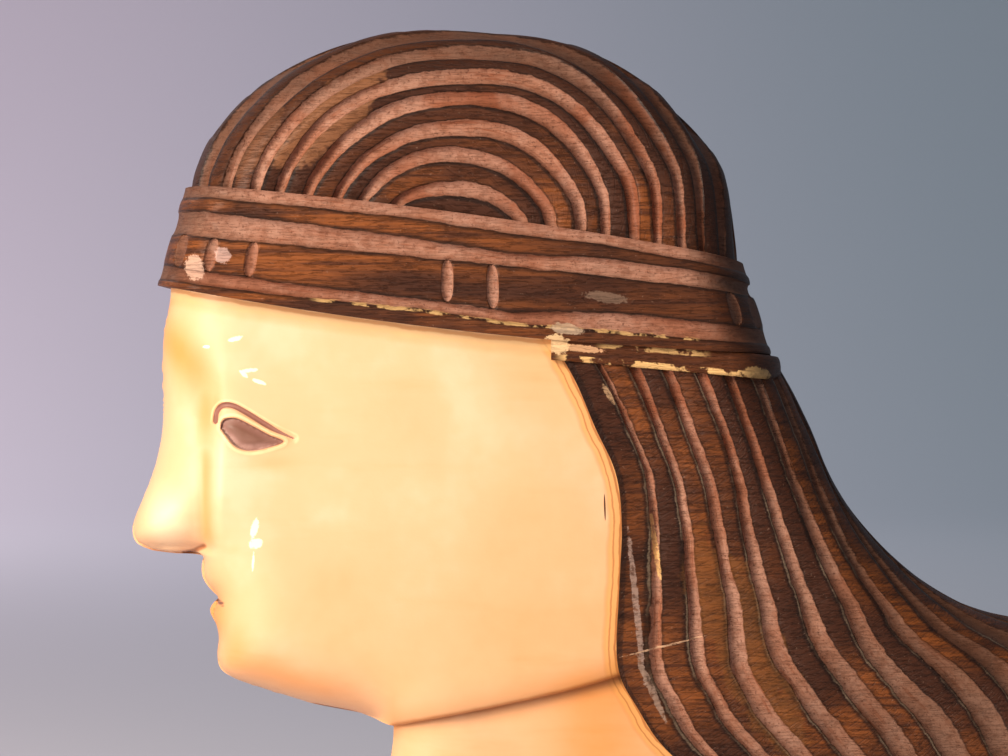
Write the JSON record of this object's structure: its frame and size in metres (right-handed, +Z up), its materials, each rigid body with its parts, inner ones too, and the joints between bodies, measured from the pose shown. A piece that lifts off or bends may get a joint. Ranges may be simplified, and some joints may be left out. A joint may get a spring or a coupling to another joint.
{
  "type": "mermaid wall sculpture",
  "caption": "Mermaid's head carved in profile as a flat-backed wooden wall relief, with a grooved crown, a head-band and long flowing hair, cut flat below the neck.",
  "frame": {"origin": "on the flat back that lies on the wall, behind the middle of the head", "axes": "+Z up, +X from the face towards the hair, -Y out of the wall towards the viewer"},
  "size_m": [0.2699, 0.0517, 0.2104],
  "materials": {
    "carved_wood": "hand-gouged hardwood, hair in dark stain and varnish with pale gouge cuts, face in cream paint with an orange antique glaze"
  },
  "bodies": {
    "root": {"carved_head": "carved_wood"}
  },
  "joints": []
}
